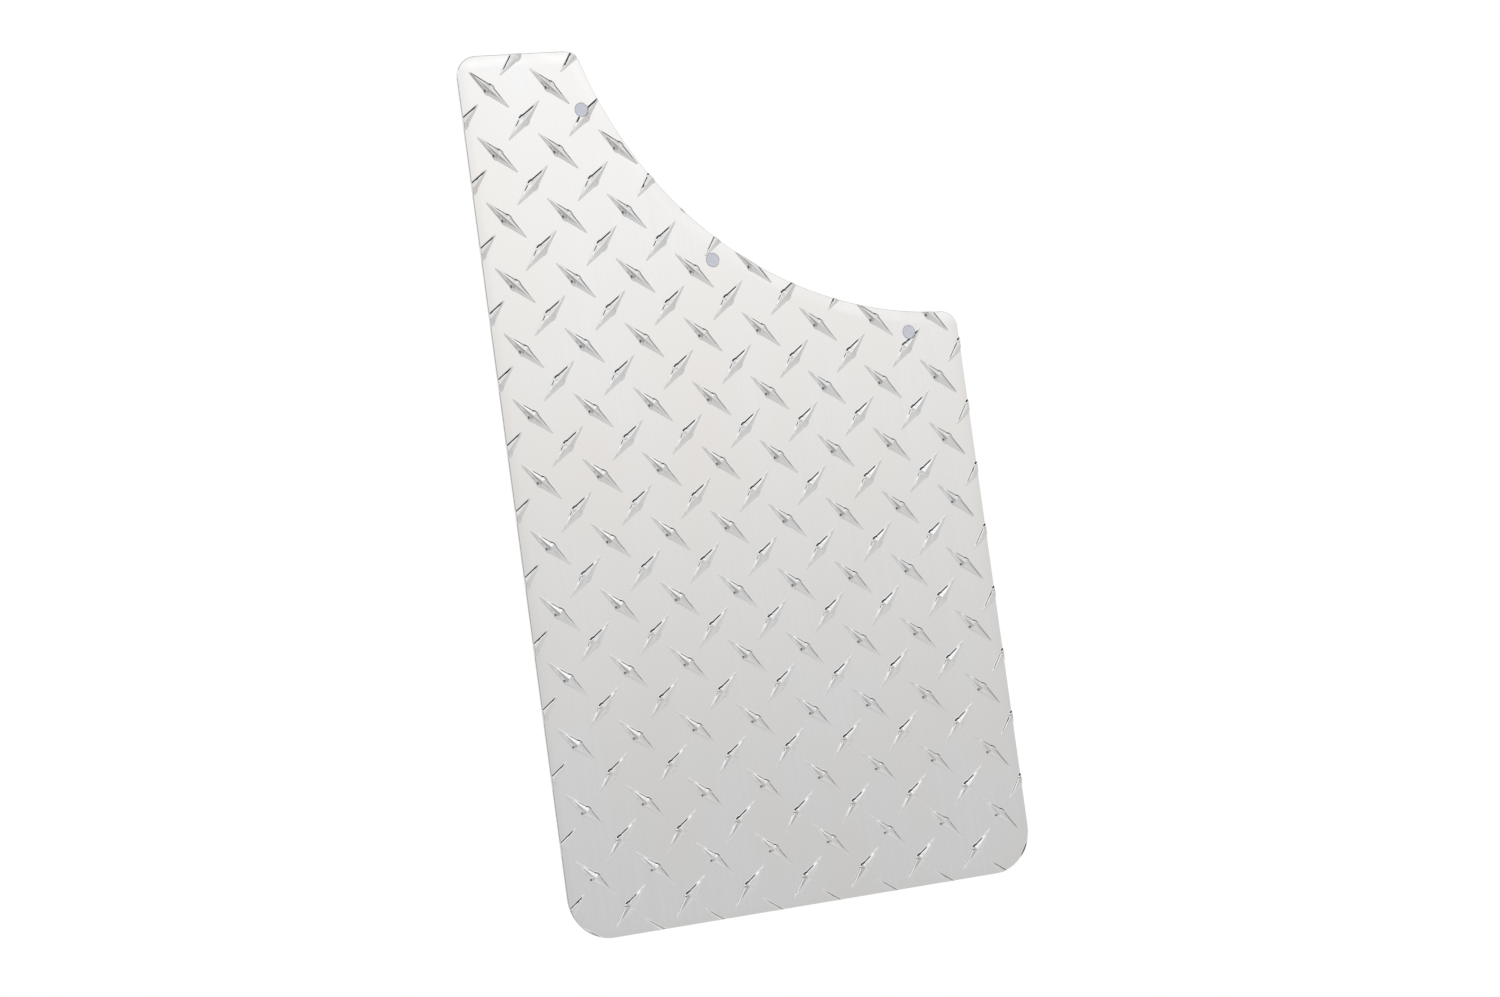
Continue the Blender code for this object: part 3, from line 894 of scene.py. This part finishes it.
def make_floor():
    """A plain white floor well below the flap, which hangs free. Only the camera sees it."""
    half = FLOOR_HALF
    corners = [(-half, -half, 0), (half, -half, 0), (half, half, 0), (-half, half, 0)]
    mesh = bpy.data.meshes.new("floor")
    mesh.from_pydata(corners, [], [(0, 1, 2, 3)])
    floor = bpy.data.objects.new("floor", mesh)
    bpy.context.scene.collection.objects.link(floor)
    floor.location.z = FLOOR_HEIGHT
    material = bpy.data.materials.new("floor_white")
    material.use_nodes = True
    shader = material.node_tree.nodes["Principled BSDF"]
    shader.inputs["Base Color"].default_value = (0.0, 0.0, 0.0, 1.0)
    shader.inputs["Specular IOR Level"].default_value = 0.0
    shader.inputs["Emission Color"].default_value = (1.0, 1.0, 1.0, 1.0)
    shader.inputs["Emission Strength"].default_value = 1.0
    mesh.materials.append(material)
    floor.visible_diffuse = floor.visible_glossy = floor.visible_shadow = False


def make_camera():
    """The camera, at the place and with the lens that the photo's perspective gives."""
    data = bpy.data.cameras.new("camera")
    data.lens = LENS
    data.sensor_width = 36.0
    data.clip_start, data.clip_end = 0.05, 200.0
    camera = bpy.data.objects.new("camera", data)
    bpy.context.scene.collection.objects.link(camera)
    turn = Matrix.Rotation(-radians(CAMERA_HEADING), 4, "Z")
    turn @= Matrix.Rotation(radians(90 + CAMERA_PITCH), 4, "X")
    turn @= Matrix.Rotation(-radians(CAMERA_ROLL), 4, "Z")
    camera.matrix_world = Matrix.Translation(CAMERA_PLACE) @ turn
    bpy.context.scene.camera = camera


# ---------------------------------------------------------------- the whole scene

PLACES = ("neck", "middle", "shoulder")
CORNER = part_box("tread_plate")[0]
AXES = {name: (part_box(f"stud_{name}")[0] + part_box(f"stud_{name}")[1]) / 2 for name in PLACES}
HOLES = [(AXES[name].x - CORNER.x, AXES[name].z - CORNER.z) for name in PLACES]

make_plate(mill_aluminium(), sheared_aluminium(), rolled_back())
STUD = plated_steel("stud_plate", (0.83, 0.85, 0.93), (0.77, 0.79, 0.88), 0.34, 0.46, 0.0004)
WASHER = plated_steel("washer_plate", (0.74, 0.75, 0.78), (0.60, 0.61, 0.65), 0.25, 0.38, 0.0003)
SPRING = plated_steel("spring_steel", (0.50, 0.50, 0.51), (0.36, 0.36, 0.38), 0.30, 0.45, 0.0003)
NUT = plated_steel("nut_plate", (0.68, 0.70, 0.74), (0.55, 0.56, 0.60), 0.28, 0.40, 0.0003)
for name in PLACES:
    axis = (AXES[name].x, 0, AXES[name].z)
    make_stud(f"stud_{name}", axis, STUD)
    make_washer(f"washer_{name}", axis, WASHER)
    make_lock_washer(f"lock_washer_{name}", axis, SPRING)
    make_nut(f"nut_{name}", axis, NUT)

make_world()
make_floor()
make_camera()
bpy.context.scene.view_settings.view_transform = "Standard"
